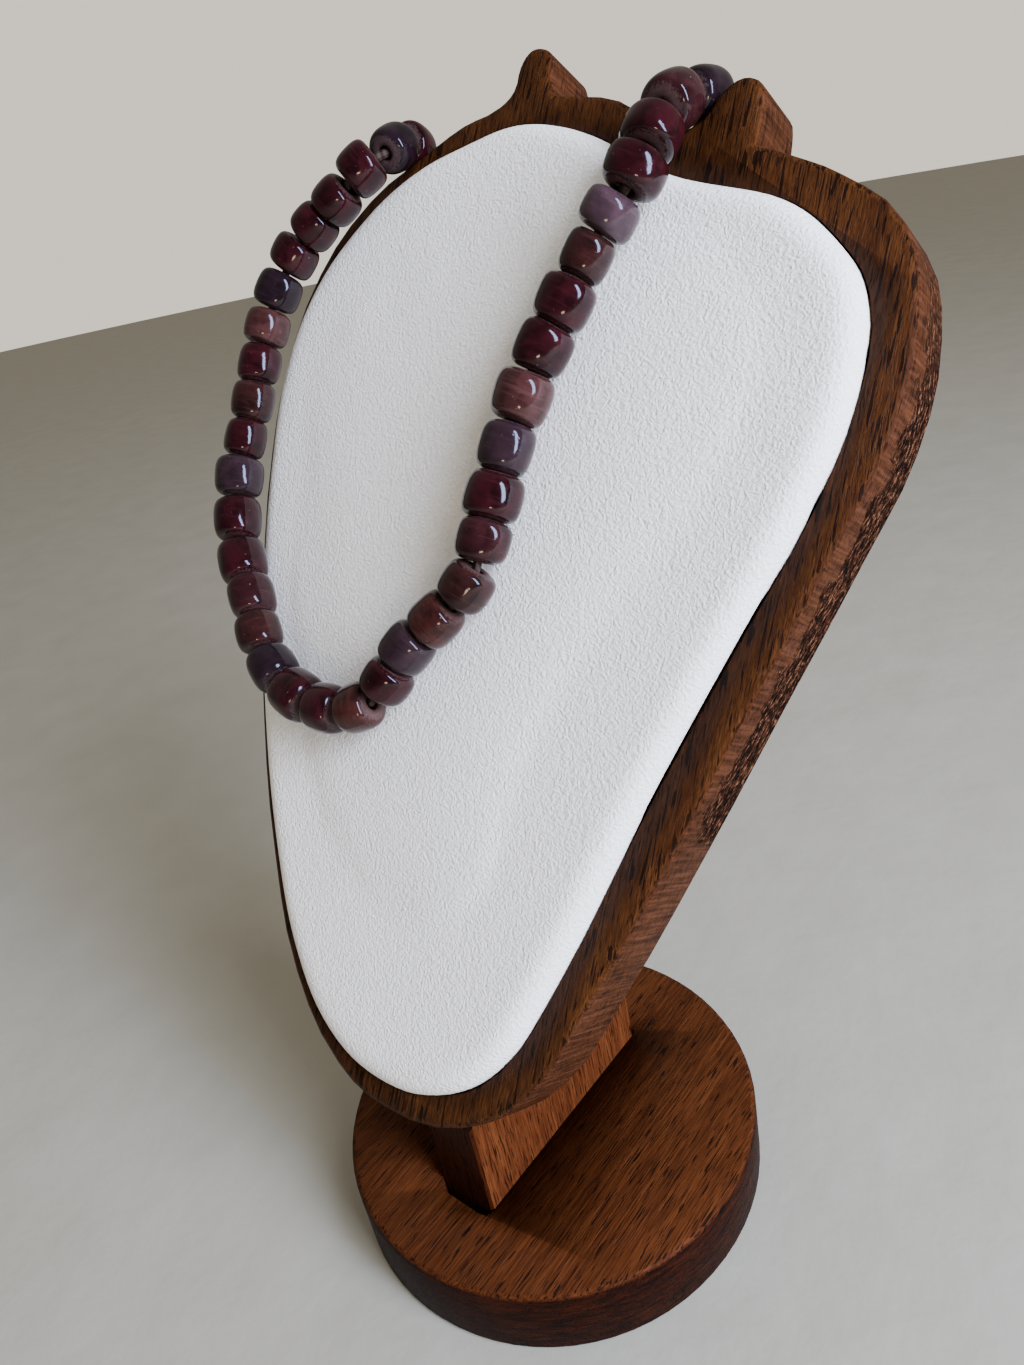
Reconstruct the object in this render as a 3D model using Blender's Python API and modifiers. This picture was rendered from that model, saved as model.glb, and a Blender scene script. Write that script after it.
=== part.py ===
"""A beaded necklace on its display stand.

One strand of wound glass beads hangs on a padded wooden board. The board
leans back on an upright post, and the post is let into a round base.
Units are metres, +Z up. The origin is the centre of the base's underside
and the board faces -Y.
"""
from math import atan2, cos, pi, radians, sin

import bmesh
import bpy
from mathutils import Matrix, Vector

MM = 0.001
GAP = 0.3 * MM               # clearance between pieces that touch on the real stand
CUT_OVER = 4 * MM            # how far a cut runs past the surface that it opens

# base: a round plinth of plank
BASE_RADIUS = 60 * MM
BASE_HEIGHT = 21.5 * MM
BASE_RIM = 1.6 * MM          # rounding of its top and bottom edges
SLOT_DEPTH = 14 * MM         # the routed slot that holds the post
SLOT_CORNER = 3 * MM         # radius that the router leaves in its corners
SLOT_PLAY_FRONT = 2.6 * MM   # the slot is a little longer than the post
SLOT_PLAY_BACK = 2.2 * MM

# post: an upright plank, thin from side to side
POST_WIDTH = 18 * MM
POST_DEPTH = 70 * MM
POST_FRONT_Y = -37.4 * MM    # its front edge
POST_EDGE = 0.8 * MM         # rounding of its arrises

# board: cut from plank, leaning back on the post's sloping top
BOARD_LEAN = radians(33)
BOARD_THICKNESS = 18 * MM
BOARD_FACE = 78 * MM         # from the origin square out to the board's front face
BOARD_FOOT = 28 * MM         # from there up the face to the board's lowest point
BOARD_SHIFT = -5.5 * MM      # the board sits a little left of the post
BOARD_WIDTH = 188 * MM
BOARD_HEIGHT = 256 * MM      # to the top of the shoulders, without the ears
BOARD_EDGE = 1.6 * MM        # rounding of its front and back arrises

# pad: leatherette over foam, let into the board's face
PAD_PROUD = 6 * MM
PAD_SEAT = 2.5 * MM          # depth of the shallow recess that it sits in
PAD_ROLL = 5 * MM            # radius of its rolled edge

# beads: wound glass barrels with a hole, on one thread
BEAD_DIAMETER = 13.0 * MM
BEAD_LENGTH = 10.2 * MM
HOLE_RADIUS = 1.5 * MM
THREAD_RADIUS = 1.1 * MM
BEAD_SIDES = 14
HIDDEN_BEADS = 12            # behind the board

# Outline of the board: across and up as shares of its width and height,
# from its lowest point counter-clockwise as seen from the front. The third
# column is the kind of point: "s" smooth, "c" corner.
BOARD_OUTLINE = [
    # bottom, then the right side
    (0.000, 0.000, "s"), (0.125, 0.021, "s"), (0.215, 0.080, "s"),
    (0.267, 0.168, "s"), (0.339, 0.320, "s"), (0.398, 0.457, "s"),
    (0.455, 0.588, "s"), (0.487, 0.672, "s"), (0.488, 0.762, "s"),
    (0.454, 0.831, "s"), (0.374, 0.876, "s"), (0.314, 0.897, "s"),
    # right ear
    (0.268, 0.911, "c"), (0.267, 0.945, "s"), (0.259, 0.963, "s"),
    (0.236, 0.971, "s"), (0.211, 0.962, "s"), (0.190, 0.942, "s"),
    (0.157, 0.934, "s"),
    # the notch between the ears
    (0.119, 0.947, "s"), (0.060, 0.977, "s"), (-0.019, 0.992, "s"),
    # left ear
    (-0.048, 0.997, "c"), (-0.058, 1.012, "s"), (-0.060, 1.030, "s"),
    (-0.071, 1.043, "s"), (-0.088, 1.049, "s"), (-0.105, 1.047, "s"),
    (-0.117, 1.033, "s"), (-0.121, 1.010, "s"), (-0.140, 0.998, "s"),
    # left shoulder and side
    (-0.203, 0.987, "s"), (-0.273, 0.964, "s"), (-0.374, 0.925, "s"),
    (-0.463, 0.847, "s"), (-0.503, 0.735, "s"), (-0.502, 0.640, "s"),
    (-0.462, 0.480, "s"), (-0.398, 0.330, "s"), (-0.314, 0.190, "s"),
    (-0.218, 0.080, "s"), (-0.100, 0.014, "s"),
]

# Outline of the pad, in the same shares.
PAD_OUTLINE = [
    (-0.010, 0.027, "s"), (0.090, 0.042, "s"), (0.171, 0.091, "s"),
    (0.222, 0.172, "s"), (0.301, 0.357, "s"), (0.376, 0.515, "s"),
    (0.423, 0.612, "s"), (0.446, 0.700, "s"), (0.434, 0.776, "s"),
    (0.386, 0.822, "s"), (0.322, 0.857, "s"), (0.235, 0.877, "s"),
    (0.180, 0.890, "s"), (0.115, 0.912, "s"), (0.050, 0.940, "s"),
    (-0.030, 0.962, "s"), (-0.095, 0.969, "s"), (-0.165, 0.961, "s"),
    (-0.270, 0.940, "s"), (-0.372, 0.890, "s"), (-0.452, 0.815, "s"),
    (-0.482, 0.725, "s"), (-0.480, 0.650, "s"), (-0.443, 0.490, "s"),
    (-0.376, 0.335, "s"), (-0.283, 0.188, "s"), (-0.203, 0.100, "s"),
    (-0.112, 0.045, "s"),
]

# The string's route on the board, chosen by eye along the middle of the
# beads: across, out from the face and up, in millimetres.
BEAD_ROUTE_MM = [
    # over the notch beside the right ear, then down the right of the pad
    (32.5, -4.0, 248.6), (31.8, 7.4, 240.4), (31.8, 11.8, 230.8),
    (30.8, 14.0, 221.4), (26.2, 13.6, 214.0), (18.5, 13.6, 194.6), (11.8, 13.6, 174.1),
    (9.2, 13.6, 152.0), (6.6, 13.6, 131.5), (-8.0, 13.6, 114.5),
    # round the bottom
    (-18.0, 13.6, 99.0), (-33.5, 13.6, 94.6), (-49.5, 13.6, 97.4),
    (-62.2, 13.6, 105.6),
    # up the left of the pad
    (-71.0, 13.6, 118.0), (-83.0, 13.6, 135.5), (-88.0, 13.6, 155.0),
    (-87.8, 13.6, 176.0), (-87.6, 13.6, 197.0), (-80.6, 13.6, 216.5),
    (-66.5, 13.6, 230.0), (-59.2, 13.4, 237.0),
    # over the left shoulder
    (-56.2, 8.6, 243.4), (-58.2, 1.0, 250.2), (-60.8, -8.0, 251.9),
    (-61.2, -16.0, 250.7),
    # the hidden stretch hangs straight down behind the board
    (-59.5, -24.0, 247.0), (-56.0, -30.5, 238.0), (-46.0, -36.8, 228.8),
    (-29.0, -41.4, 221.6), (-12.0, -43.0, 219.2), (6.0, -41.2, 222.0),
    (21.0, -36.4, 229.4), (30.0, -29.8, 238.6), (33.0, -22.6, 246.6),
    (32.9, -13.0, 251.0),
]

# The beads that show, from the notch down the right, round and up the left:
# length and diameter as shares of the mean bead, and the glass.
BEADS = [
    (1.06, 0.96, "violet"), (1.00, 1.01, "mauve"), (0.86, 1.04, "burgundy"),
    (0.80, 1.08, "burgundy"), (0.82, 1.04, "lilac"), (0.94, 0.88, "brown"),
    (1.03, 1.04, "burgundy"), (1.02, 1.02, "burgundy"), (1.08, 1.09, "tan"),
    (1.09, 1.00, "lilac"), (1.03, 1.09, "burgundy"), (0.94, 0.98, "mauve"),
    (0.93, 1.00, "brown"), (1.00, 0.98, "rust"), (1.00, 1.01, "lilac"),
    (0.86, 1.00, "burgundy"), (0.94, 0.98, "rust"), (1.06, 1.02, "burgundy"),
    (1.16, 1.06, "burgundy"), (1.06, 1.00, "violet"), (1.02, 0.98, "brown"),
    (1.08, 1.02, "mauve"), (1.18, 1.05, "burgundy"), (1.16, 1.03, "burgundy"),
    (1.05, 1.05, "lilac"), (1.01, 0.93, "burgundy"), (1.02, 0.95, "brown"),
    (1.00, 0.95, "burgundy"), (0.93, 0.99, "tan"), (0.96, 0.98, "violet"),
    (0.90, 1.00, "burgundy"), (0.89, 0.98, "burgundy"), (0.90, 1.02, "burgundy"),
    (0.94, 1.04, "burgundy"), (0.88, 0.97, "violet"), (0.94, 0.98, "burgundy"),
]
HIDDEN_TONES = ["burgundy", "brown", "violet"]

# Half section of a bead: radius as a share of its radius, height as a share
# of its length, down its outside.
BEAD_SECTION = [(0.56, 0.50), (0.87, 0.40), (1.00, 0.14),
                (1.00, -0.14), (0.87, -0.40), (0.56, -0.50)]
BEND_SHARE = 0.60            # of the radius: where beads in a bend stay a gap apart
HOLE_LIP = 0.44              # where the hole's wall starts, as a share of the length

# colour (linear), roughness
FINISHES = {
    "wood": ((0.105, 0.036, 0.014), 0.55),
    "leatherette": ((0.80, 0.80, 0.79), 0.50),
    "thread": ((0.25, 0.20, 0.16), 0.90),
    "burgundy": ((0.045, 0.008, 0.013), 0.12),
    "brown": ((0.090, 0.030, 0.024), 0.14),
    "rust": ((0.120, 0.042, 0.032), 0.14),
    "mauve": ((0.150, 0.070, 0.068), 0.14),
    "tan": ((0.210, 0.100, 0.080), 0.16),
    "lilac": ((0.125, 0.070, 0.100), 0.16),
    "violet": ((0.030, 0.015, 0.024), 0.12),
}


def clear_scene():
    for thing in list(bpy.data.objects):
        bpy.data.objects.remove(thing)


def new_collection(name):
    group = bpy.data.collections.new(name)
    bpy.context.scene.collection.children.link(group)
    return group


def material(finish):
    known = bpy.data.materials.get(finish)
    if known:
        return known
    colour, roughness = FINISHES[finish]
    made = bpy.data.materials.new(finish)
    made.use_nodes = True
    shader = made.node_tree.nodes["Principled BSDF"]
    shader.inputs["Base Color"].default_value = (*colour, 1)
    shader.inputs["Roughness"].default_value = roughness
    shader.inputs["Metallic"].default_value = 0
    return made


def add_part(name, mesh, group, finish=None, parent=None):
    """One named object in a collection, with its own material."""
    thing = bpy.data.objects.new(name, mesh)
    group.objects.link(thing)
    thing.parent = parent
    if finish:
        own = material(finish).copy()
        own.name = name
        mesh.materials.clear()
        mesh.materials.append(own)
    return thing


def smooth(mesh, angle=radians(35)):
    mesh.shade_smooth()
    mesh.set_sharp_from_angle(angle=angle)


def outline_mesh(name, knots, width, height, thickness):
    """A flat slab in the XZ plane from a closed outline, y = 0 to thickness."""
    curve = bpy.data.curves.new(name, "CURVE")
    curve.dimensions = "2D"
    curve.fill_mode = "BOTH"
    curve.extrude = thickness / 2
    curve.resolution_u = 3
    spline = curve.splines.new("BEZIER")
    spline.bezier_points.add(len(knots) - 1)
    for point, (across, up, kind) in zip(spline.bezier_points, knots):
        point.co = (across * width, up * height, 0)
        handle = "VECTOR" if kind == "c" else "AUTO"
        point.handle_left_type = point.handle_right_type = handle
    spline.use_cyclic_u = True
    drawn = bpy.data.objects.new(name + "_curve", curve)
    bpy.context.scene.collection.objects.link(drawn)
    bpy.context.view_layer.update()
    graph = bpy.context.evaluated_depsgraph_get()
    mesh = bpy.data.meshes.new_from_object(drawn.evaluated_get(graph))
    bpy.data.objects.remove(drawn)
    # the curve lies in XY and is extruded along Z: stand it up, back face at +Y
    mesh.transform(Matrix.Rotation(pi / 2, 4, "X"))
    mesh.transform(Matrix.Translation((0, thickness / 2, 0)))
    weld(mesh)
    return mesh


def weld(mesh):
    shape = bmesh.new()
    shape.from_mesh(mesh)
    bmesh.ops.remove_doubles(shape, verts=shape.verts, dist=MM * 0.01)
    bmesh.ops.dissolve_limit(shape, angle_limit=radians(0.5), verts=shape.verts,
                             edges=shape.edges)
    bmesh.ops.recalc_face_normals(shape, faces=shape.faces)
    shape.to_mesh(mesh)
    shape.free()


def round_rim(mesh, radius, segments, y_values):
    """Rounds the outline edges that lie at the given depths."""
    shape = bmesh.new()
    shape.from_mesh(mesh)
    rim = [edge for edge in shape.edges
           if any(all(abs(v.co.y - y) < MM * 0.01 for v in edge.verts) for y in y_values)
           and edge.calc_face_angle(0) > radians(45)]
    bmesh.ops.bevel(shape, geom=rim, offset=radius, offset_type="OFFSET",
                    segments=segments, profile=0.5, affect="EDGES", clamp_overlap=True)
    shape.to_mesh(mesh)
    shape.free()


def subtract(target, cutter_mesh, cutters, parent=None, name="cutter"):
    cutter = add_part(name, cutter_mesh, cutters, parent=parent)
    cutter.hide_render = True
    cutter.display_type = "WIRE"
    cut = target.modifiers.new(name, "BOOLEAN")
    cut.object = cutter
    cut.solver = "EXACT"
    return cutter


def rounded_bar(width, depth, height, corner, edge):
    """An upright bar of rounded rectangle section, from z = 0 up."""
    shape = bmesh.new()
    bmesh.ops.create_cube(shape, size=1)
    bmesh.ops.scale(shape, verts=shape.verts, vec=(width, depth, height))
    bmesh.ops.translate(shape, verts=shape.verts, vec=(0, 0, height / 2))
    upright = [e for e in shape.edges
               if abs((e.verts[0].co - e.verts[1].co).z) > height / 2]
    bmesh.ops.bevel(shape, geom=upright, offset=corner, segments=edge,
                    profile=0.5, affect="EDGES")
    mesh = bpy.data.meshes.new("bar")
    shape.to_mesh(mesh)
    shape.free()
    return mesh


def build_base(parts, cutters):
    shape = bmesh.new()
    bmesh.ops.create_cone(shape, cap_ends=True, segments=72, radius1=BASE_RADIUS,
                          radius2=BASE_RADIUS, depth=BASE_HEIGHT)
    bmesh.ops.translate(shape, verts=shape.verts, vec=(0, 0, BASE_HEIGHT / 2))
    rim = [e for e in shape.edges
           if len(e.link_faces) == 2 and e.calc_face_angle(0) > radians(45)]
    bmesh.ops.bevel(shape, geom=rim, offset=BASE_RIM, segments=2, profile=0.5,
                    affect="EDGES")
    mesh = bpy.data.meshes.new("base")
    shape.to_mesh(mesh)
    shape.free()
    smooth(mesh)
    base = add_part("base", mesh, parts, "wood")
    slot_depth_y = POST_DEPTH + SLOT_PLAY_FRONT + SLOT_PLAY_BACK
    slot = rounded_bar(POST_WIDTH + 2 * GAP, slot_depth_y, SLOT_DEPTH + CUT_OVER,
                       SLOT_CORNER, 3)
    cutter = subtract(base, slot, cutters, name="base_slot")
    cutter.location = (0, POST_FRONT_Y - SLOT_PLAY_FRONT + slot_depth_y / 2,
                       BASE_HEIGHT - SLOT_DEPTH)
    return base


def board_anchor(parts):
    """An empty at the foot of the board's front face, leaning with it."""
    anchor = bpy.data.objects.new("board_anchor", None)
    parts.objects.link(anchor)
    out = Vector((0, -cos(BOARD_LEAN), sin(BOARD_LEAN)))
    up = Vector((0, sin(BOARD_LEAN), cos(BOARD_LEAN)))
    anchor.location = out * BOARD_FACE + up * BOARD_FOOT + Vector((BOARD_SHIFT, 0, 0))
    anchor.rotation_euler = (-BOARD_LEAN, 0, 0)
    bpy.context.view_layer.update()
    return anchor


def build_post(parts, cutters, anchor):
    """The upright plank, cut off along the board's back."""
    foot = BASE_HEIGHT - SLOT_DEPTH + GAP
    tall = 2 * (BOARD_FACE + POST_DEPTH)
    mesh = rounded_bar(POST_WIDTH, POST_DEPTH, tall, POST_EDGE, 1)
    post = add_part("post", mesh, parts, "wood")
    post.location = (0, POST_FRONT_Y + POST_DEPTH / 2, foot)
    shape = bmesh.new()
    bmesh.ops.create_cube(shape, size=1)
    big = 3 * tall
    bmesh.ops.scale(shape, verts=shape.verts, vec=(big, big, big))
    bmesh.ops.translate(shape, verts=shape.verts,
                        vec=(0, BOARD_THICKNESS + GAP - big / 2, 0))
    block = bpy.data.meshes.new("post_top_cut")
    shape.to_mesh(block)
    shape.free()
    subtract(post, block, cutters, parent=anchor, name="post_top_cut")
    return post


def build_board(parts, cutters, anchor):
    mesh = outline_mesh("board", BOARD_OUTLINE, BOARD_WIDTH, BOARD_HEIGHT, BOARD_THICKNESS)
    round_rim(mesh, BOARD_EDGE, 2, (0, BOARD_THICKNESS))
    smooth(mesh)
    board = add_part("board", mesh, parts, "wood", parent=anchor)
    recess = outline_mesh("pad_recess", PAD_OUTLINE, BOARD_WIDTH, BOARD_HEIGHT,
                          PAD_SEAT + GAP + CUT_OVER)
    grow(recess, GAP)
    recess.transform(Matrix.Translation((0, -CUT_OVER, 0)))
    subtract(board, recess, cutters, parent=anchor, name="pad_recess")
    return board


def grow(mesh, distance):
    """Moves the outline of an upright slab outward by a distance."""
    shape = bmesh.new()
    shape.from_mesh(mesh)
    shape.normal_update()
    moves = {}
    for vert in shape.verts:
        sides = [f.normal for f in vert.link_faces if abs(f.normal.y) < 0.5]
        mean = sum(sides, Vector()).normalized()
        moves[vert] = mean * distance
    for vert, move in moves.items():
        vert.co += move
    shape.to_mesh(mesh)
    shape.free()


def build_pad(parts, anchor):
    thick = PAD_SEAT + PAD_PROUD
    mesh = outline_mesh("pad", PAD_OUTLINE, BOARD_WIDTH, BOARD_HEIGHT, thick)
    round_rim(mesh, PAD_ROLL, 3, (0,))
    mesh.transform(Matrix.Translation((0, -PAD_PROUD, 0)))
    smooth(mesh, radians(50))
    return add_part("pad", mesh, parts, "leatherette", parent=anchor)


def route_curve(samples=24):
    """The string's closed route in the board's own frame, as dense points."""
    knots = [Vector((a, -out, up)) * MM for a, out, up in BEAD_ROUTE_MM]
    count = len(knots)
    points = []
    for i in range(count):
        p0, p1, p2, p3 = (knots[(i + k - 1) % count] for k in range(4))
        for step in range(samples):
            t = step / samples
            points.append(0.5 * (2 * p1 + (p2 - p0) * t
                                 + (2 * p0 - 5 * p1 + 4 * p2 - p3) * t * t
                                 + (3 * p1 - p0 - 3 * p2 + p3) * t ** 3))
    return points


class Route:
    """Places and directions at a distance along the closed route."""

    def __init__(self, points):
        self.points = points + [points[0]]
        self.marks = [0.0]
        for a, b in zip(self.points, self.points[1:]):
            self.marks.append(self.marks[-1] + (b - a).length)
        self.length = self.marks[-1]

    def place(self, distance):
        distance %= self.length
        low, high = 0, len(self.marks) - 1
        while high - low > 1:
            mid = (low + high) // 2
            low, high = (mid, high) if self.marks[mid] <= distance else (low, mid)
        span = self.marks[high] - self.marks[low]
        t = (distance - self.marks[low]) / span
        return self.points[low].lerp(self.points[high], t)

    def direction(self, distance, reach):
        ahead = self.place(distance + reach)
        behind = self.place(distance - reach)
        return (ahead - behind).normalized()


def bead_places(route):
    """Distance along the route, length, diameter and glass of every bead."""
    shown = [(share * BEAD_LENGTH, wide * BEAD_DIAMETER, tone)
             for share, wide, tone in BEADS]

    def bend(here, there):
        """What a bend takes from a bead's length, so its inner edges stay apart."""
        turn = route.direction(here, BEAD_LENGTH / 2).angle(
            route.direction(there, BEAD_LENGTH / 2))
        return 2 * sin(turn / 2) * BEAD_DIAMETER / 2 * BEND_SHARE

    places = []
    here = 0.0
    for i, (length, diameter, tone) in enumerate(shown):
        places.append((here, length, diameter, tone))
        following = shown[i + 1][0] if i + 1 < len(shown) else BEAD_LENGTH
        pitch = (length + following) / 2 + GAP
        here += pitch + bend(here, here + pitch)
    # the hidden beads share what is left of the loop, up to the first bead
    start = here - BEAD_LENGTH / 2
    end = route.length - shown[0][0] / 2 - GAP / 2
    end -= bend(end - BEAD_LENGTH / 2, route.length)
    share = (end - start) / HIDDEN_BEADS
    for i in range(HIDDEN_BEADS):
        middle = start + share * (i + 0.5)
        length = share - GAP - max(bend(middle - share, middle),
                                   bend(middle, middle + share))
        tone = HIDDEN_TONES[i % len(HIDDEN_TONES)]
        places.append((middle, length, 0.98 * BEAD_DIAMETER, tone))
    return places


def build_bead(name, length, diameter, tone, place, direction, parts, anchor):
    """A barrel turned round its hole with a Screw modifier."""
    section = [(share * diameter / 2, up * length) for share, up in BEAD_SECTION]
    section += [(HOLE_RADIUS, -HOLE_LIP * length), (HOLE_RADIUS, HOLE_LIP * length)]
    mesh = bpy.data.meshes.new(name)
    mesh.from_pydata([(x, 0, z) for x, z in section],
                     [(i, (i + 1) % len(section)) for i in range(len(section))], [])
    bead = add_part(name, mesh, parts, tone, parent=anchor)
    turn = bead.modifiers.new("turn", "SCREW")
    turn.axis = "Z"
    turn.steps = turn.render_steps = BEAD_SIDES
    turn.use_merge_vertices = True
    turn.merge_threshold = 0.00001
    turn.use_smooth_shade = True
    turn.use_normal_calculate = False
    bead.location = place
    bead.rotation_mode = "QUATERNION"
    bead.rotation_quaternion = direction.to_track_quat("Z", "Y")
    return bead


def build_thread(route, places, parts, anchor):
    """The thread: a closed run through the middle of every bead."""
    curve = bpy.data.curves.new("thread", "CURVE")
    curve.dimensions = "3D"
    curve.bevel_depth = THREAD_RADIUS
    curve.bevel_resolution = 1
    stops = []
    for here, length, _, _ in places:
        middle, along = route.place(here), route.direction(here, length / 2)
        stops += [middle - along * length * HOLE_LIP, middle + along * length * HOLE_LIP]
    spline = curve.splines.new("POLY")
    spline.points.add(len(stops) - 1)
    for point, stop in zip(spline.points, stops):
        point.co = (*stop, 1)
    spline.use_cyclic_u = True
    own = material("thread").copy()
    own.name = "thread_own"
    curve.materials.append(own)
    thread = bpy.data.objects.new("thread", curve)
    parts.objects.link(thread)
    thread.parent = anchor
    return thread


def build():
    clear_scene()
    parts = new_collection("beaded_necklace_on_stand")
    cutters = new_collection("cutters")
    anchor = board_anchor(parts)
    build_base(parts, cutters)
    build_post(parts, cutters, anchor)
    build_board(parts, cutters, anchor)
    build_pad(parts, anchor)
    route = Route(route_curve())
    places = bead_places(route)
    for number, (here, length, diameter, tone) in enumerate(places, 1):
        build_bead(f"bead_{number:02d}", length, diameter, tone, route.place(here),
                   route.direction(here, length / 2), parts, anchor)
    build_thread(route, places, parts, anchor)


build()
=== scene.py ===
# %% [markdown]
# # A bead necklace on a leaning wooden display board
#
# The solid model gives the frame: a turned base, an upright post, a board cut from
# plank, a pad let into its face and a string of forty-eight glass beads. Nothing here
# moves or resizes them. This lesson gives each of them its finish, and makes the two
# things that a plain solid can't show: the stretched pad, and wound glass beads
# that are all a little different.

# %% Load the frame
from math import cos, pi, radians, sin

import bpy
import numpy as np
from mathutils import Matrix, Vector


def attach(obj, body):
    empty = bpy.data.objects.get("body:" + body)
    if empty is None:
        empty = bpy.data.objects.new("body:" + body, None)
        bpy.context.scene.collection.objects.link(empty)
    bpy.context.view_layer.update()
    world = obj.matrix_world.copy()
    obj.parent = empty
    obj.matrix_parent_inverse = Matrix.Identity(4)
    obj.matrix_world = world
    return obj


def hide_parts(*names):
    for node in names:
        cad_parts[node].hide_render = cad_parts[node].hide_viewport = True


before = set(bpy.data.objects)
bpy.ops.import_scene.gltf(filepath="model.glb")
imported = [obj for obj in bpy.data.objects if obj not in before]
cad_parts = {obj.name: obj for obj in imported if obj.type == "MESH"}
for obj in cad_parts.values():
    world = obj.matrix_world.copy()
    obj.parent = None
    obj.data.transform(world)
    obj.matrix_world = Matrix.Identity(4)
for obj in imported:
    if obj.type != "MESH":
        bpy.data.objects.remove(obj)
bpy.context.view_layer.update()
MM = 0.001
BEAD_NODES = sorted(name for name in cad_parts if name.startswith("bead_"))
print("loaded", len(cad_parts), "solids,", len(BEAD_NODES), "of them beads")

# %% [markdown]
# ## The camera
#
# The photograph was taken from close by, above and to the right, with the phone turned
# a little. A wide lens that near makes the base look small and far away, so the
# place, the tilt and the lens matter as much as any material. They were found from
# the round base and the upright lines, and are set here as a place and three axes.

# %% Camera
CAMERA_PLACE = Vector((155.20, -142.22, 265.88)) * MM
CAMERA_YAW, CAMERA_PITCH, CAMERA_ROLL = radians(-43.91), radians(26.87), radians(-11.21)
LENS = 26.37                     # mm, on a 36 mm sensor along the tall side


def camera_matrix():
    """The camera's axes: it looks down its own minus Z, rolled about it."""
    ahead = Vector((sin(CAMERA_YAW) * cos(CAMERA_PITCH),
                    cos(CAMERA_YAW) * cos(CAMERA_PITCH), -sin(CAMERA_PITCH)))
    level = Vector((cos(CAMERA_YAW), -sin(CAMERA_YAW), 0))
    above = level.cross(ahead)
    right = cos(CAMERA_ROLL) * level + sin(CAMERA_ROLL) * above
    up = cos(CAMERA_ROLL) * above - sin(CAMERA_ROLL) * level
    turn = Matrix((right, up, -ahead)).transposed()
    return Matrix.Translation(CAMERA_PLACE) @ turn.to_4x4()


camera_data = bpy.data.cameras.new("camera")
camera_data.sensor_fit = "VERTICAL"
camera_data.sensor_height = 36
camera_data.lens = LENS
camera_data.clip_start = 0.01
camera = bpy.data.objects.new("camera", camera_data)
bpy.context.scene.collection.objects.link(camera)
camera.matrix_world = camera_matrix()
bpy.context.scene.camera = camera
print("camera", [round(v, 3) for v in camera.location])

# %% [markdown]
# ## Helpers
#
# Colours are picked as they look on a screen, in sRGB hex, and a shader wants them
# linear. One function turns them. Another adds a node with its settings and its links,
# so that each material below reads as a list of layers. Choices such as a noise type
# are settings, and sockets get either a value or another node's output. The nodes that
# the materials use most, for a sum, a noise, a range and a mix, have a line each.

# %% Colour and node helpers


def linear(code):
    """An sRGB hex colour such as "#6b4a2e" as linear RGBA."""
    channels = [int(code[i:i + 2], 16) / 255 for i in (1, 3, 5)]
    return [c / 12.92 if c <= 0.04045 else ((c + 0.055) / 1.055) ** 2.4
            for c in channels] + [1.0]


def add_node(tree, kind, sockets=None, stops=None, **settings):
    """Add a node; sockets are values or links by name or number, stops fill a ramp."""
    made = tree.nodes.new("ShaderNode" + kind)
    for name, value in settings.items():
        setattr(made, name, value)
    for name, value in (sockets or {}).items():
        if isinstance(value, bpy.types.NodeSocket):
            tree.links.new(value, made.inputs[name])
        else:
            made.inputs[name].default_value = value
    if stops:
        ramp = made.color_ramp.elements
        while len(ramp) < len(stops):
            ramp.new(0.5)
        for step, (place, code) in zip(ramp, stops):
            step.position, step.color = place, linear(code)
    return made


def new_finish(name, roughness, ior=1.5):
    """A material with one Principled shader; returns it, its tree and the shader."""
    made = bpy.data.materials.new(name)
    made.use_nodes = True
    shader = made.node_tree.nodes["Principled BSDF"]
    shader.inputs["Roughness"].default_value = roughness
    shader.inputs["IOR"].default_value = ior
    return made, made.node_tree, shader


def blend(tree, share, first, second, mode="MIX"):
    """Mix two colours: sockets 0, 6 and 7 are the share and the colours."""
    return add_node(tree, "Mix", {0: share, 6: first, 7: second},
                    data_type="RGBA", blend_type=mode).outputs[2]


def calc(tree, operation, *values):
    """One Math node on one, two or three values or links."""
    return add_node(tree, "Math", dict(enumerate(values)), operation=operation).outputs[0]


def ramp_up(tree, value, low, high, to_low=0.0, to_high=1.0):
    """The value from low to high, as a share from to_low to to_high."""
    return add_node(tree, "MapRange", {"Value": value, "From Min": low, "From Max": high,
                                       "To Min": to_low, "To Max": to_high}).outputs[0]


def noise(tree, place, scale=1.0, **sockets):
    """A noise with so many cells in each unit of the place."""
    return add_node(tree, "TexNoise", {"Vector": place, "Scale": scale, **sockets}
                    ).outputs["Fac"]


def scaled(tree, place, factors):
    """The place with each axis times its factor, for a noise that is longer one way."""
    return add_node(tree, "Mapping", {"Vector": place, "Scale": factors}).outputs["Vector"]


def facing(tree, direction):
    """How far the surface faces a direction: 1 is straight, -1 is away from it."""
    normal = add_node(tree, "TexCoord").outputs["Normal"]
    return add_node(tree, "VectorMath", {0: normal, 1: direction},
                    operation="DOT_PRODUCT").outputs["Value"]


def bumped(tree, height, strength, distance, under=None):
    """The normal after a bump as deep as distance, on top of an earlier one if given."""
    made = add_node(tree, "Bump", {"Height": height, "Strength": strength,
                                   "Distance": distance})
    if under is not None:
        tree.links.new(under, made.inputs["Normal"])
    return made.outputs["Normal"]


# %% [markdown]
# ## Stained hardwood
#
# The stand is a coarse hardwood, stained dark and oiled. Three things make it read as
# that. The colour drifts between amber and umber along the grain, in wide bands and in
# fibres. Open pores show as black dashes, 7 to 9 mm long and up to a millimetre
# wide. And the surface is only half smooth, so it takes a broad, weak shine.
# All of it is noises that are squeezed across the grain and stretched along it, read
# in millimetres in the plank's own direction. So one function makes the wood, and
# each plank gets its own grain direction and its own colours.

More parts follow.
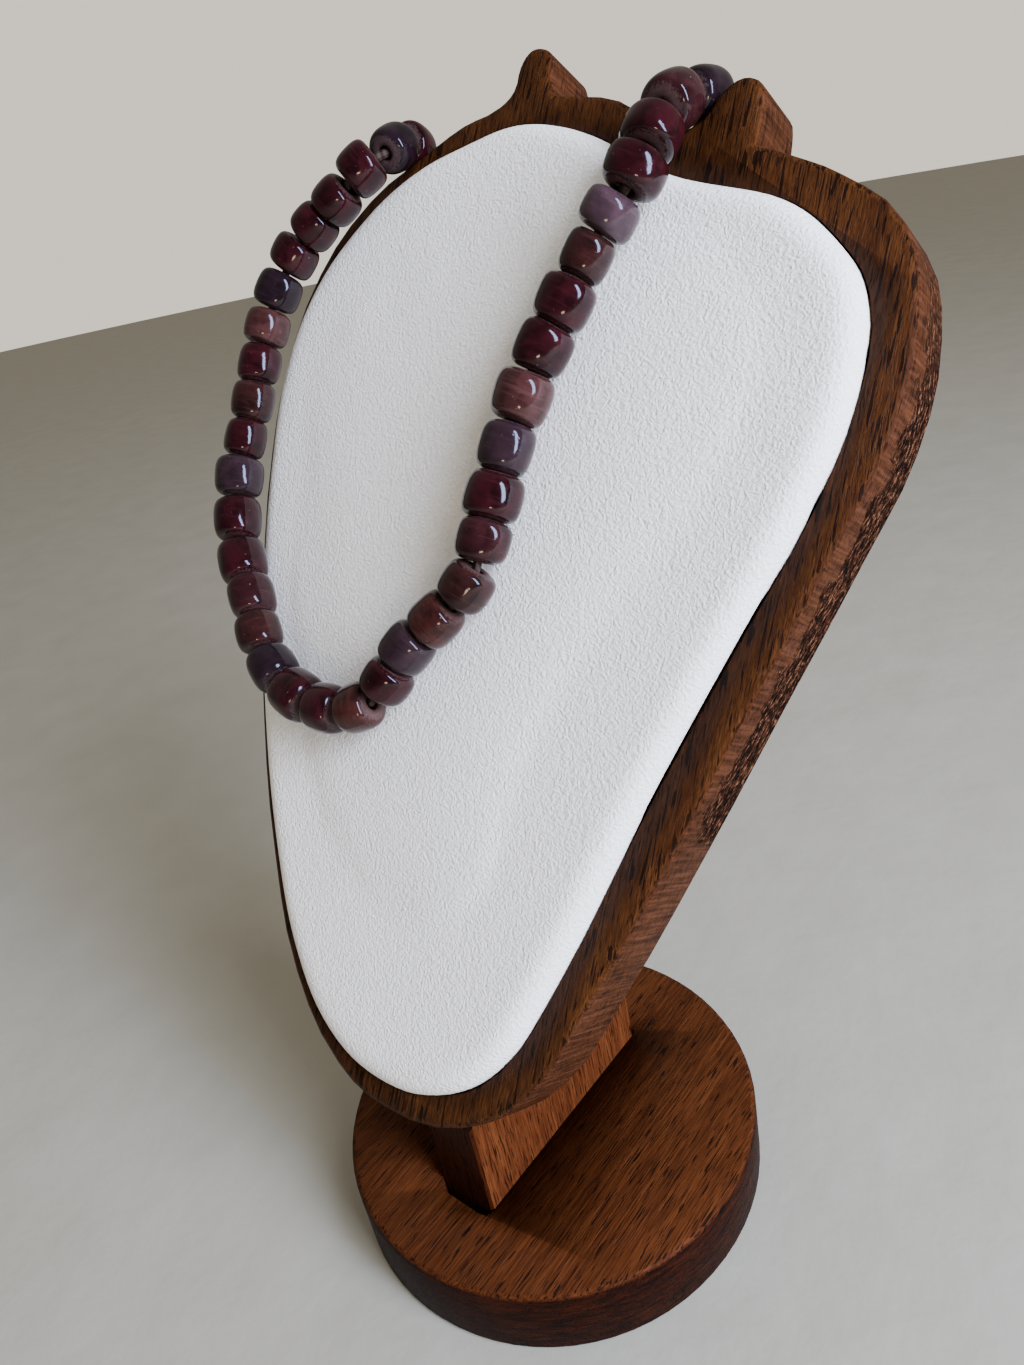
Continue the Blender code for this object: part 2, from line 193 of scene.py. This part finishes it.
# %% Stained hardwood
BOARD_LEAN = radians(33)
BOARD_FOOT = (-5.5 * MM, -50.2 * MM, 66.0 * MM)
OUT_OF_BOARD = (0, -cos(BOARD_LEAN), sin(BOARD_LEAN))
ALONG_Y, ALONG_Z = (-pi / 2, 0, 0), (0, 0, 0)


def plank_place(tree, origin, turn):
    """The point in the plank's own millimetres, with the grain along its Z."""
    place = add_node(tree, "TexCoord").outputs["Object"]
    return add_node(tree, "Mapping", {"Vector": place, "Location": origin,
                                      "Rotation": turn, "Scale": (MM, MM, MM)},
                    vector_type="TEXTURE").outputs["Vector"]


def stretched(tree, place, across, along, **sockets):
    """A noise whose cells are so many millimetres across and along the grain."""
    return noise(tree, scaled(tree, place, (1 / across, 1 / across, 1 / along)), **sockets)


def stained_hardwood(name, origin, turn, dark, middle, light, grain=17, open_pores=0.0):
    """Oiled, stained hardwood with fibres of a grain's length in mm.

    Returns the material, its tree and shader, the place in the plank, the colour and
    the normal, so that a sawn edge, stain and painted shade can be laid over them.
    """
    wood, tree, shader = new_finish(name, 0.5)
    place = plank_place(tree, origin, turn)
    bands = stretched(tree, place, 6, 130, Detail=2, Distortion=0.4)
    fibre = stretched(tree, place, 0.55, grain, Detail=4, Roughness=0.7)
    mixed = calc(tree, "MULTIPLY_ADD", bands, 0.35, fibre)
    colour = add_node(tree, "ValToRGB", {0: ramp_up(tree, mixed, 0.42, 0.93)}, stops=[
        (0.0, dark), (0.5, middle), (1.0, light)]).outputs["Color"]
    # dense fine dark lines half as long, part of the way to the dark tone
    lines = ramp_up(tree, stretched(tree, place, 0.42, grain / 2, Detail=2), 0.52, 0.62)
    colour = blend(tree, calc(tree, "MULTIPLY", lines, 0.38), colour, linear(dark))
    # pores: only the highest tips of a fine, long noise are cut through to black
    dashes = stretched(tree, place, 0.5, 7.0, Detail=1, Roughness=0.4)
    gate = stretched(tree, place, 3.0, 18, Detail=1)
    pores = ramp_up(tree, calc(tree, "MULTIPLY_ADD", gate, 0.22, dashes), 0.725, 0.76)
    # a few wide ones stand open where the plank's ends and ears cross the grain
    gaps = ramp_up(tree, stretched(tree, place, 1.0, 9.0, Detail=0), 0.67, 0.69)
    pores = calc(tree, "MAXIMUM", pores, calc(tree, "MULTIPLY", gaps, open_pores))
    colour = blend(tree, calc(tree, "MULTIPLY", pores, 0.85), colour, linear("#0d0604"))
    tree.links.new(colour, shader.inputs["Base Color"])
    tree.links.new(ramp_up(tree, fibre, 0.3, 0.7, 0.40, 0.60), shader.inputs["Roughness"])
    shader.inputs["Specular IOR Level"].default_value = 0.06
    relief = calc(tree, "MULTIPLY_ADD", pores, -1.8, calc(tree, "SUBTRACT", fibre, lines))
    normal = bumped(tree, relief, 0.6, 0.14 * MM)
    tree.links.new(normal, shader.inputs["Normal"])
    return wood, tree, shader, place, colour, normal


base_wood, tree, shader, place, colour, _ = stained_hardwood(
    "stained_hardwood_base", (0, 0, 0), ALONG_Y, "#230e05", "#3d1e0c", "#542e16")
# the turned side is painted darker than the flat top, and more in some streaks:
# in part the side drank more stain, in part this is painted shade on it
side = ramp_up(tree, facing(tree, (0, 0, 1)), 0.75, 0.25)
streaks = noise(tree, scaled(tree, place, (0.12, 0.9, 0.12)), Detail=4, Roughness=0.7)
side_stain_and_shade = blend(tree, ramp_up(tree, streaks, 0.38, 0.64), linear("#503d33"),
              linear("#b5927c"))
tree.links.new(blend(tree, side, colour, side_stain_and_shade, "MULTIPLY"), shader.inputs["Base Color"])

post_wood, tree, shader, _, colour, _ = stained_hardwood(
    "stained_hardwood_post", (50 * MM, 20 * MM, 0), ALONG_Z, "#2c1207", "#472411", "#5c331a")
# painted shade: the post's narrow front and back are painted darker than its sides
narrow_face_shade = ramp_up(tree, calc(tree, "ABSOLUTE", facing(tree, (0, 1, 0))), 0.4, 0.8)
tree.links.new(blend(tree, narrow_face_shade, colour, linear("#948380"), "MULTIPLY"),
               shader.inputs["Base Color"])
print("wood for the base and the post")

# %% [markdown]
# ## The board's sawn edge
#
# The board is the same wood, but its edge was cut across the curve with a coarse saw and
# hardly sanded. On the long lower sides the cut runs half across the fibres and
# has torn them into a dark, crumbly strip. A mask finds that place: the surface must
# face sideways out of the board, and lie between two heights along it. Inside the mask
# the colour goes to a dry dark brown with lighter crumbs, and a strong bump roughens
# it. Real geometry would break the outline too. The tears look about a millimetre
# deep, so here the mesh stays smooth and only the bump stands for them.

# %% Sawn edge of the board
TORN_BELOW, TORN_ABOVE = (84, 87), (218, 180)   # mm up the board: none to all, all to none
TORN_DEEP = (13, 14.5)           # mm from the face, where the torn half begins

board_wood, tree, shader, place, colour, normal = stained_hardwood(
    "stained_hardwood_board", BOARD_FOOT, (-BOARD_LEAN, 0, 0),
    "#200e05", "#381e0c", "#4e2e14", grain=5, open_pores=1.0)
edge = ramp_up(tree, calc(tree, "ABSOLUTE", facing(tree, OUT_OF_BOARD)), 0.75, 0.35)
split = add_node(tree, "SeparateXYZ", {0: place})
up_board, depth = split.outputs["Z"], split.outputs["Y"]
# the sawn edge as a whole is dry and a little pink, with the saw's marks through it
saw_lines = noise(tree, scaled(tree, place, (1.1, 0.08, 1.1)), Detail=3)
sawn = blend(tree, calc(tree, "MULTIPLY", edge, 0.45), colour, add_node(
    tree, "ValToRGB", {0: saw_lines}, stops=[
        (0.35, "#1f0e08"), (0.50, "#3b1f13"), (0.68, "#573423")]).outputs["Color"])
ragged = noise(tree, place, 0.16, Detail=4)
torn = edge
for limit in (ramp_up(tree, up_board, *TORN_BELOW), ramp_up(tree, up_board, *TORN_ABOVE),
              ramp_up(tree, calc(tree, "MULTIPLY_ADD", ragged, 14.0, depth), *TORN_DEEP)):
    torn = calc(tree, "MULTIPLY", torn, limit)
# the crumbs lie in rows along the edge, so their noise is finer through the thickness
crumbs = noise(tree, scaled(tree, place, (0.55, 1.3, 0.55)), Detail=4, Roughness=0.7)
crumb_colour = add_node(tree, "ValToRGB", {0: crumbs}, stops=[
    (0.40, "#080402"), (0.51, "#27150c"), (0.58, "#563422"), (0.70, "#9a6c4c")]
    ).outputs["Color"]
tree.links.new(blend(tree, torn, sawn, crumb_colour), shader.inputs["Base Color"])
tree.links.new(calc(tree, "MULTIPLY_ADD", torn, 0.35, 0.5), shader.inputs["Roughness"])
normal = bumped(tree, calc(tree, "MULTIPLY", crumbs, torn), 1.0, 2.4 * MM, normal)
normal = bumped(tree, calc(tree, "MULTIPLY", saw_lines, edge), 0.6, 0.5 * MM, normal)
tree.links.new(normal, shader.inputs["Normal"])
print("wood for the board, with its sawn edge")

# %% [markdown]
# ## Smooth wooden parts
#
# The solids arrive as loose triangles with flat shading, and on a rounded arris that
# shows as facets. Their shape is right, so each wooden part is copied, its doubles are
# merged, and the copy is shaded smooth up to 30 degrees. The copy then stands for the
# solid. Giving the solid itself a material would be quicker, but leaves the facets.

# %% Copies of the wooden parts
WELD = 0.002 * MM                # corners closer than this are one
SMOOTH_BELOW = radians(30)       # edges that bend less are shaded smooth


def corners(piece):
    """The piece's points, a row for each."""
    points = np.empty(len(piece.data.vertices) * 3)
    piece.data.vertices.foreach_get("co", points)
    return points.reshape(-1, 3)


def select_only(piece):
    """Make the piece the one that the operators work on."""
    bpy.ops.object.select_all(action="DESELECT")
    piece.select_set(True)
    bpy.context.view_layer.objects.active = piece


def merged_copy(node, name):
    """A copy of a solid with its triangles joined into one surface."""
    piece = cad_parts[node].copy()
    piece.data = piece.data.copy()
    piece.name = piece.data.name = name
    bpy.context.scene.collection.objects.link(piece)
    select_only(piece)
    bpy.ops.object.mode_set(mode="EDIT")
    bpy.ops.mesh.select_all(action="SELECT")
    bpy.ops.mesh.remove_doubles(threshold=WELD)
    bpy.ops.object.mode_set(mode="OBJECT")
    return piece


def dress(piece, finish):
    """Give the piece one material in place of all it had."""
    piece.data.materials.clear()
    piece.data.materials.append(finish)


for node, finish in (("base", base_wood), ("post", post_wood), ("board", board_wood)):
    part = merged_copy(node, f"{node}_finished")
    bpy.ops.object.shade_smooth_by_angle(angle=SMOOTH_BELOW)
    dress(part, finish)
    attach(part, "root")
    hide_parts(node)
    print(node, "has", len(part.data.polygons), "faces")

# %% [markdown]
# ## White leatherette
#
# The pad is foam under white leatherette, a fabric with a vinyl skin embossed like
# leather. The embossing is a net of soft pebbles under a millimetre across. Voronoi
# cells give the pebbles, a wandering shift of their places makes them uneven, and a
# finer noise breaks their tops. The skin is soft white with a satin shine.

# %% White leatherette
PEBBLE = 0.75                    # mm across

leatherette, tree, shader = new_finish("white_leatherette", 0.46, ior=1.48)
place = plank_place(tree, BOARD_FOOT, (-BOARD_LEAN, 0, 0))
wander = add_node(tree, "TexNoise", {"Vector": place, "Scale": 0.45, "Detail": 2})
shifted = add_node(tree, "VectorMath", {0: wander.outputs["Color"], 1: (2.6, 2.6, 2.6),
                                        2: place}, operation="MULTIPLY_ADD").outputs[0]
pebbles = add_node(tree, "TexVoronoi", {"Vector": shifted, "Scale": 1 / PEBBLE},
                   feature="SMOOTH_F1").outputs["Distance"]
fine = noise(tree, place, 1.4, Detail=3, Roughness=0.6)
skin = calc(tree, "MULTIPLY_ADD", pebbles, -1.2, fine)
emboss = bumped(tree, skin, 0.62, 0.35 * MM)
swell = bumped(tree, noise(tree, place, 0.03, Detail=2), 0.2, 2 * MM, emboss)
tree.links.new(swell, shader.inputs["Normal"])
# the creases between the pebbles are painted a little darker than their tops: painted shade
tree.links.new(blend(tree, ramp_up(tree, skin, -0.4, 0.5), linear("#e6e4de"),
                     linear("#f5f4f0")), shader.inputs["Base Color"])
shader.inputs["Specular IOR Level"].default_value = 0.4
print("leatherette with pebbles of", PEBBLE, "mm")

# %% [markdown]
# ## The padded face
#
# The foam is cut to the pad's outline and the leatherette is pulled over it, so the
# face is nearly flat and only the rim rolls over. A voxel remesh would give even cells
# but chews the rim. So the rim of the solid is kept, its flat top is taken off, and the
# rim's edge is extruded inwards ring by ring, which gives even cells right up to it.
# A cloth simulation with a light pressure and no gravity then blows it up. No point may
# move more than a millimetre, as the real cloth is tight, and low on the rim, where
# the recess holds it, none moves at all. At last the top is smoothed, as the foam under
# it pushes the wrinkles of the simulation out.

# %% Pad
PAD_RINGS = 26                   # of cells about 4 mm wide, from the rim to the middle
PAD_MOST = 0.9 * MM              # the most that the cloth may rise
PAD_HELD = 3.0 * MM              # above the board's face, the cloth is free to rise
PAD_TOP = 5.9 * MM               # above this the cloth lies flat on the foam
PRESSURE = 4                     # of the foam under the cloth
FRAMES = 14                      # as long as the cloth gets to rise


def out_of_board(points):
    """Height of points above the board's face."""
    return (points - np.array(BOARD_FOOT)) @ np.array(OUT_OF_BOARD)


def take_top_off(piece):
    """Delete the flat top, leave its edge selected and return the middle of the hole."""
    for flat in piece.data.polygons:
        flat.select = flat.normal.dot(Vector(OUT_OF_BOARD)) > 0.999
    bpy.context.tool_settings.mesh_select_mode = (False, False, True)
    bpy.ops.object.mode_set(mode="EDIT")
    bpy.ops.mesh.delete(type="FACE")
    bpy.ops.mesh.select_all(action="DESELECT")
    bpy.context.tool_settings.mesh_select_mode = (True, False, False)
    bpy.ops.mesh.select_non_manifold()
    bpy.ops.object.mode_set(mode="OBJECT")
    rim = corners(piece)[[v.index for v in piece.data.vertices if v.select]]
    return Vector((rim.min(axis=0) + rim.max(axis=0)) / 2)


def fill_ring_by_ring(middle, rings):
    """Extrude the selected edge towards the middle in even rings, and close the last."""
    bpy.ops.object.mode_set(mode="EDIT")
    for ring in range(rings, 1, -1):
        bpy.ops.mesh.extrude_region_move()
        shrink = (ring - 1) / ring
        bpy.ops.transform.resize(value=(shrink, shrink, shrink), center_override=middle)
    bpy.ops.mesh.edge_face_add()
    bpy.ops.mesh.select_all(action="SELECT")
    bpy.ops.mesh.tris_convert_to_quads()
    bpy.ops.mesh.normals_make_consistent(inside=False)
    bpy.ops.object.mode_set(mode="OBJECT")


def swell_by_cloth(piece, pressure, frames, most):
    """Blow the piece up with cloth, cap each point's travel, and keep the result."""
    cloth = piece.modifiers.new("cloth", "CLOTH")
    cloth.settings.use_pressure = True
    cloth.settings.uniform_pressure_force = pressure
    cloth.settings.effector_weights.gravity = 0
    cloth.point_cache.frame_start, cloth.point_cache.frame_end = 1, frames
    for number in range(1, frames + 1):
        bpy.context.scene.frame_set(number)
    blown = piece.evaluated_get(bpy.context.evaluated_depsgraph_get())
    before, after = corners(piece), corners(blown)
    travel = after - before
    far = np.linalg.norm(travel, axis=1, keepdims=True)
    free = np.clip(out_of_board(before) / PAD_HELD, 0, 1)[:, None]
    travel *= free * np.minimum(1.0, most / np.maximum(far, 1e-9))
    piece.modifiers.remove(cloth)
    piece.data.vertices.foreach_set("co", (before + travel).ravel())
    piece.data.update()
    bpy.context.scene.frame_set(1)
    print(piece.name, "moved", round(float(far.max()) * 1000, 2), "mm before the cap")


def smooth_top(piece, above):
    """Push the wrinkles out of all that lies higher above the board's face."""
    select_only(piece)
    bpy.ops.object.mode_set(mode="EDIT")
    bpy.ops.mesh.select_all(action="DESELECT")
    bpy.ops.object.mode_set(mode="OBJECT")
    for corner, height in zip(piece.data.vertices, out_of_board(corners(piece))):
        corner.select = bool(height > above)
    bpy.ops.object.mode_set(mode="EDIT")
    bpy.ops.mesh.vertices_smooth(factor=0.5, repeat=60)
    bpy.ops.object.mode_set(mode="OBJECT")


def apply_modifier(piece, kind, name, **settings):
    """Add a modifier with its settings and apply it at once."""
    made = piece.modifiers.new(name, kind)
    for setting, value in settings.items():
        setattr(made, setting, value)
    select_only(piece)
    bpy.ops.object.modifier_apply(modifier=name)


pad = merged_copy("pad", "pad_leatherette")
fill_ring_by_ring(take_top_off(pad), PAD_RINGS)
swell_by_cloth(pad, PRESSURE, FRAMES, PAD_MOST)
smooth_top(pad, PAD_TOP)
apply_modifier(pad, "SUBSURF", "finer", levels=1, render_levels=1)
bpy.ops.object.shade_smooth()
dress(pad, leatherette)
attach(pad, "root")
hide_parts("pad")
print("pad has", len(pad.data.polygons), "faces")

# %% [markdown]
# ## One wound bead
#
# Such a bead is made by winding a thread of hot glass round a rod and rolling it on
# a flat stone. So it is a barrel: flat where it was rolled, rounded at the shoulders,
# with a flat worn end and a hole through it. It could be spun from a half section.
# Here a ring at the mouth of the hole is extruded and scaled, ring by ring, out over
# the end, down the side and back into the hole, and the last ring is bridged to
# the first. That keeps the faces even, and one subdivision makes them round.

# %% Model one bead
BEAD_PROFILE = [
    # radius and height as shares of the bead's radius and half length, down to its waist
    (0.25, 0.88), (0.31, 0.965), (0.43, 1.00), (0.58, 0.99), (0.74, 0.94),
    (0.86, 0.85), (0.935, 0.70), (0.98, 0.48), (1.00, 0.22),
]
BEAD_RINGS = BEAD_PROFILE + [(wide, -high) for wide, high in reversed(BEAD_PROFILE)]
BEAD_SIDES = 28


def model_bead():
    """A bead of radius 1 and half length 1, round the Z axis."""
    radius, height = BEAD_RINGS[0]
    bpy.ops.object.select_all(action="DESELECT")
    bpy.ops.mesh.primitive_circle_add(vertices=BEAD_SIDES, radius=radius,
                                      location=(0, 0, height))
    bead = bpy.context.active_object
    bead.name = "wound_bead"
    bpy.ops.object.transform_apply(location=True, rotation=True, scale=True)
    bpy.ops.object.mode_set(mode="EDIT")
    bpy.ops.mesh.select_all(action="SELECT")
    for wider, lower in BEAD_RINGS[1:]:
        bpy.ops.mesh.extrude_region_move(
            TRANSFORM_OT_translate={"value": (0, 0, lower - height)})
        grow = wider / radius
        bpy.ops.transform.resize(value=(grow, grow, 1), center_override=(0, 0, lower))
        radius, height = wider, lower
    bpy.ops.mesh.select_all(action="DESELECT")
    bpy.ops.mesh.select_non_manifold()
    bpy.ops.mesh.bridge_edge_loops()
    bpy.ops.mesh.select_all(action="SELECT")
    bpy.ops.mesh.normals_make_consistent(inside=False)
    bpy.ops.object.mode_set(mode="OBJECT")
    apply_modifier(bead, "SUBSURF", "round off", levels=1, render_levels=1)
    bpy.ops.object.shade_smooth()
    return bead


master_bead = model_bead()
print("one bead has", len(master_bead.data.polygons), "faces")

# %% [markdown]
# ## Glass
#
# The beads look like wound glass, which is a guess from their sheen and pits. They
# come in deep burgundy, smoky brown and milky lilac, dark enough that the material
# lets no light through. In each the winding is drawn as faint lighter rings across the
# hole's axis. Wear has pitted the surface and frosted the rims of the ends. The
# pattern has to turn with each bead, so it isn't read from Object coordinates but
# from an attribute: the point in the bead's own millimetres, shifted by a
# different amount for every bead so that no two look the same.

# %% Wound glass


def wound_glass(name, deep, body, streak, milky, roughness=0.10):
    """Glass from three colours; milky is the share of the cloudy, paler glass."""
    glass, tree, shader = new_finish(name, roughness, ior=1.52)
    point = add_node(tree, "Attribute", attribute_name="bead_point").outputs["Vector"]
    rim = add_node(tree, "Attribute", attribute_name="bead_rim").outputs["Fac"]
    cloud = noise(tree, point, 0.22, Detail=3, Distortion=0.6)
    colour = blend(tree, ramp_up(tree, cloud, 0.35, 0.65), linear(deep), linear(body))
    rings = noise(tree, scaled(tree, point, (0.10, 0.10, 1.0)), 0.85, Detail=4,
                  Distortion=0.9)
    wound = ramp_up(tree, rings, 0.52, 0.72, to_high=milky)
    colour = blend(tree, wound, colour, linear(streak))
    # pits: the centres of a few Voronoi cells, and frosting at the rims of the ends
    pits = add_node(tree, "TexVoronoi", {"Vector": point, "Scale": 0.55}
                    ).outputs["Distance"]
    pit = ramp_up(tree, pits, 0.16, 0.08)
    grit = noise(tree, point, 1.6, Detail=5, Roughness=0.7)
    worn = ramp_up(tree, calc(tree, "ADD", rim, grit), 1.15, 1.5)
    colour = blend(tree, calc(tree, "MULTIPLY", worn, 0.30), colour, linear("#6a5450"))
    # some pits are painted paler, only where the grit is coarse
    pale_pit_share = ramp_up(tree, grit, 0.52, 0.66, to_high=0.35)
    colour = blend(tree, calc(tree, "MULTIPLY", pit, pale_pit_share), colour, linear("#8a7472"))
    tree.links.new(colour, shader.inputs["Base Color"])
    tree.links.new(ramp_up(tree, worn, 0, 1, roughness, 0.5), shader.inputs["Roughness"])
    dents = noise(tree, point, 0.35, Detail=2)
    height = calc(tree, "MULTIPLY_ADD", pit, -0.25, dents)
    tree.links.new(bumped(tree, height, 0.1, 0.5 * MM), shader.inputs["Normal"])
    shader.inputs["Specular IOR Level"].default_value = 0.34
    return glass


# the deep glass, the body and the streaks of the winding, and the streaks' share
GLASS = {
    "burgundy": wound_glass("wound_glass_burgundy", "#130406", "#26090e", "#37151a", 0.30),
    "brown": wound_glass("wound_glass_brown", "#160909", "#281211", "#3a2220", 0.35),
    "rust": wound_glass("wound_glass_rust", "#1d0b0a", "#321714", "#452824", 0.35),
    "mauve": wound_glass("wound_glass_mauve", "#19080a", "#291214", "#392022", 0.45),
    "tan": wound_glass("wound_glass_tan", "#271312", "#3a201f", "#4d3330", 0.40),
    "lilac": wound_glass("wound_glass_lilac", "#2c1f24", "#3b2a30", "#49373d", 0.35),
    "plum": wound_glass("wound_glass_plum", "#1b1115", "#26181d", "#332429", 0.35),
    "violet": wound_glass("wound_glass_violet", "#0e070b", "#1a0f15", "#261a20", 0.30),
}
# from the notch down the right of the pad, up its left and back behind the board
TONES = ("violet mauve burgundy burgundy lilac brown burgundy burgundy tan plum "
         "burgundy mauve brown rust plum burgundy rust burgundy burgundy violet brown "
         "mauve burgundy burgundy plum burgundy brown burgundy tan violet burgundy "
         "burgundy burgundy burgundy violet burgundy burgundy brown violet burgundy brown "
         "violet burgundy brown violet burgundy brown violet").split()
print("glass in", len(GLASS), "colours")

# %% [markdown]
# ## String the beads
#
# Each bead goes where its solid is. The solid's corners tell all that is needed: those
# nearest to its middle are the two mouths of the hole, so the line between them is the
# axis, and the farthest corner along it and across it give the length and the
# diameter. The copy is then pushed a little out of true, by a few hundredths, with
# a seed of its own: oval, fuller on one side, and with ends that aren't quite square.

# %% Place the beads
# how far a bead is out of true, as shares of its radius or half length
OVAL, THREE_SIDED, TAPER, SQUASH, END_SLANT, END_WAVE = 0.018, 0.012, 0.035, 0.02, 0.035, 0.02
HOLE_TRUE, SKIN_WORN = 0.3, 0.7  # radii: true inside the first, fully out outside the second
END_REGAINED = 1.035             # the ends lose that much where the bead was rounded off
RIM_FROM = 0.72                  # the worn rim's start along the half length


def measure_bead(node):
    """Middle, axis, length and diameter of a bead's solid."""
    points = np.unique(np.round(corners(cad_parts[node]), 7), axis=0)
    middle = points.mean(axis=0)
    away = points - middle
    reach = np.linalg.norm(away, axis=1)
    mouths = away[reach < reach.min() * 1.04]
    side = mouths @ mouths[0] > 0
    axis = mouths[side].mean(axis=0) - mouths[~side].mean(axis=0)
    axis /= np.linalg.norm(axis)
    along = away @ axis
    across = np.linalg.norm(away - np.outer(along, axis), axis=1)
    return middle, axis, 2 * np.abs(along).max(), 2 * across.max()


def string_bead(number, node, tone):
    """A copy of the bead, sized and worn, on the solid's place."""
    chance = np.random.default_rng(100 + number)
    middle, axis, length, diameter = measure_bead(node)
    piece = master_bead.copy()
    piece.data = master_bead.data.copy()
    piece.name = piece.data.name = f"glass_{node}"
    bpy.context.scene.collection.objects.link(piece)
    shape = corners(piece)
    angle = np.arctan2(shape[:, 1], shape[:, 0])
    phases = chance.uniform(0, 2 * pi, 5)
    oval = (OVAL * np.cos(2 * angle + phases[0])
            + THREE_SIDED * np.cos(3 * angle + phases[1]))
    taper = chance.uniform(-TAPER, TAPER) * shape[:, 2]
    squash = SQUASH * np.cos(angle + phases[2]) * shape[:, 2]
    outer = np.clip((np.hypot(shape[:, 0], shape[:, 1]) - HOLE_TRUE)
                    / (SKIN_WORN - HOLE_TRUE), 0, 1)
    shape[:, :2] *= (1 + outer * (oval + taper + squash))[:, None]
    tilt = (END_SLANT * np.cos(angle + phases[3])
            + END_WAVE * np.cos(2 * angle + phases[4]))
    rim = np.clip((np.abs(shape[:, 2]) - RIM_FROM) / (1 - RIM_FROM), 0, 1)
    shape[:, 2] *= END_REGAINED + outer * tilt
    local = shape * (diameter / 2, diameter / 2, length / 2)
    turn = Vector(axis).to_track_quat("Z", "Y").to_matrix()
    placed = local @ np.array(turn).T + middle
    piece.data.vertices.foreach_set("co", placed.ravel())
    store = piece.data.attributes.new("bead_point", "FLOAT_VECTOR", "POINT")
    shift = chance.uniform(-500, 500, 3)
    store.data.foreach_set("vector", (local * 1000 + shift).ravel())
    store = piece.data.attributes.new("bead_rim", "FLOAT", "POINT")
    store.data.foreach_set("value", rim)
    piece.data.update()
    dress(piece, GLASS[tone])
    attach(piece, "root")
    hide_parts(node)
    return length, diameter


sizes = [string_bead(i, node, tone)
         for i, (node, tone) in enumerate(zip(BEAD_NODES, TONES))]
bpy.data.objects.remove(master_bead)
print("beads", round(min(s[1] for s in sizes) * 1000, 1), "to",
      round(max(s[1] for s in sizes) * 1000, 1), "mm in diameter")

# %% [markdown]
# ## Waxed thread
#
# Between the beads a little of the thread shows. It is taken for two plies of brown
# waxed cotton. The tube of the solid is kept as it is and only gets a finish, with
# the plies as a slanting wave, about 2 mm from one to the next.

# %% Thread
thread_finish, tree, shader = new_finish("waxed_cotton_thread", 0.7, ior=1.45)
place = plank_place(tree, BOARD_FOOT, (-BOARD_LEAN, 0, 0))
plies = add_node(tree, "TexWave", {"Vector": place, "Scale": 0.2, "Distortion": 1.5},
                 bands_direction="DIAGONAL").outputs["Fac"]
tree.links.new(blend(tree, plies, linear("#1c120e"), linear("#3c2c24")),
               shader.inputs["Base Color"])
tree.links.new(bumped(tree, plies, 0.6, 0.2 * MM), shader.inputs["Normal"])
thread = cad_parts["thread"]
dress(thread, thread_finish)
print("thread dressed")

# %% [markdown]
# ## Floor and light
#
# The photograph has a plastered corner and daylight from a window on the right. A plain
# pale floor stands in for the room. The window is a large, cool area light on the right.
# Seen in glass it would be a broad white patch, but the real one shows as a thin blue
# pane. So gloss doesn't see the large light, and a narrow one a little in front of
# it is what the beads mirror. A weak warm light low on the right gives a second,
# smaller glint, and a pale sky fills the shadows.

# %% Floor and light
FLOOR_RADIUS = 4.0               # metres, as all of the light's sizes are
STAND_MIDDLE = (0, 0, 0.18)      # where the window shines to
SHADOW_SIDE = (0.55, -0.75, 0.1)  # towards the dim room behind the viewer
# the sky's strength: on the shadow side and opposite, for matt and for gloss, and as seen
SPREAD, MIRRORED, SEEN = (0.52, 1.05), (0.08, 0.42), 1.25

bpy.ops.object.select_all(action="DESELECT")
bpy.ops.mesh.primitive_circle_add(vertices=96, radius=FLOOR_RADIUS, fill_type="NGON")
floor = bpy.context.active_object
floor.name = "floor"
plaster, tree, shader = new_finish("pale_plaster", 0.85, ior=1.45)
place = add_node(tree, "TexCoord").outputs["Object"]
trowel = noise(tree, place, 28, Detail=5, Roughness=0.55)
tree.links.new(blend(tree, trowel, linear("#8b887a"), linear("#98958a")),
               shader.inputs["Base Color"])
tree.links.new(bumped(tree, trowel, 0.35, 3 * MM), shader.inputs["Normal"])
dress(floor, plaster)


def area_light(name, place, target, size, watts, code):
    """A rectangular soft light at a place, turned to a target."""
    data = bpy.data.lights.new(name, "AREA")
    data.shape = "RECTANGLE"
    data.size, data.size_y = size
    data.energy = watts
    data.color = linear(code)[:3]
    lamp = bpy.data.objects.new(name, data)
    bpy.context.scene.collection.objects.link(lamp)
    lamp.location = place
    aim = Vector(target) - Vector(place)
    lamp.rotation_euler = aim.to_track_quat("-Z", "Y").to_euler()
    return lamp


window = area_light("window", (0.91, -0.07, 0.58), STAND_MIDDLE, (0.56, 0.84), 37, "#eef1ff")
window.visible_glossy = False
area_light("pane", (0.73, -0.055, 0.50), STAND_MIDDLE, (0.15, 0.62), 11, "#b8ceff")
area_light("glow", (0.55, -0.75, 0.12), (0, 0, 0.15), (0.16, 0.10), 1.2, "#ffe2c4")
world = bpy.data.worlds.new("pale_sky")
world.use_nodes = True
tree = world.node_tree
sky = tree.nodes["Background"]
sky.inputs["Color"].default_value = linear("#ebe3d6")
# the room behind the viewer is dimmer than the walls, most of all as gloss sees it
ray = add_node(tree, "LightPath").outputs
towards = add_node(tree, "VectorMath", {0: add_node(tree, "TexCoord").outputs["Generated"],
                                        1: SHADOW_SIDE},
                   operation="DOT_PRODUCT").outputs["Value"]
mirrored = ramp_up(tree, towards, 0.6, -0.6, *MIRRORED)
spread = ramp_up(tree, towards, 0.6, -0.6, *SPREAD)
lit = add_node(tree, "Mix", {0: ray["Is Glossy Ray"], 2: spread, 3: mirrored}).outputs[0]
seen = add_node(tree, "Mix", {0: ray["Is Camera Ray"], 2: lit, 3: SEEN}).outputs[0]
tree.links.new(seen, sky.inputs["Strength"])
bpy.context.scene.world = world
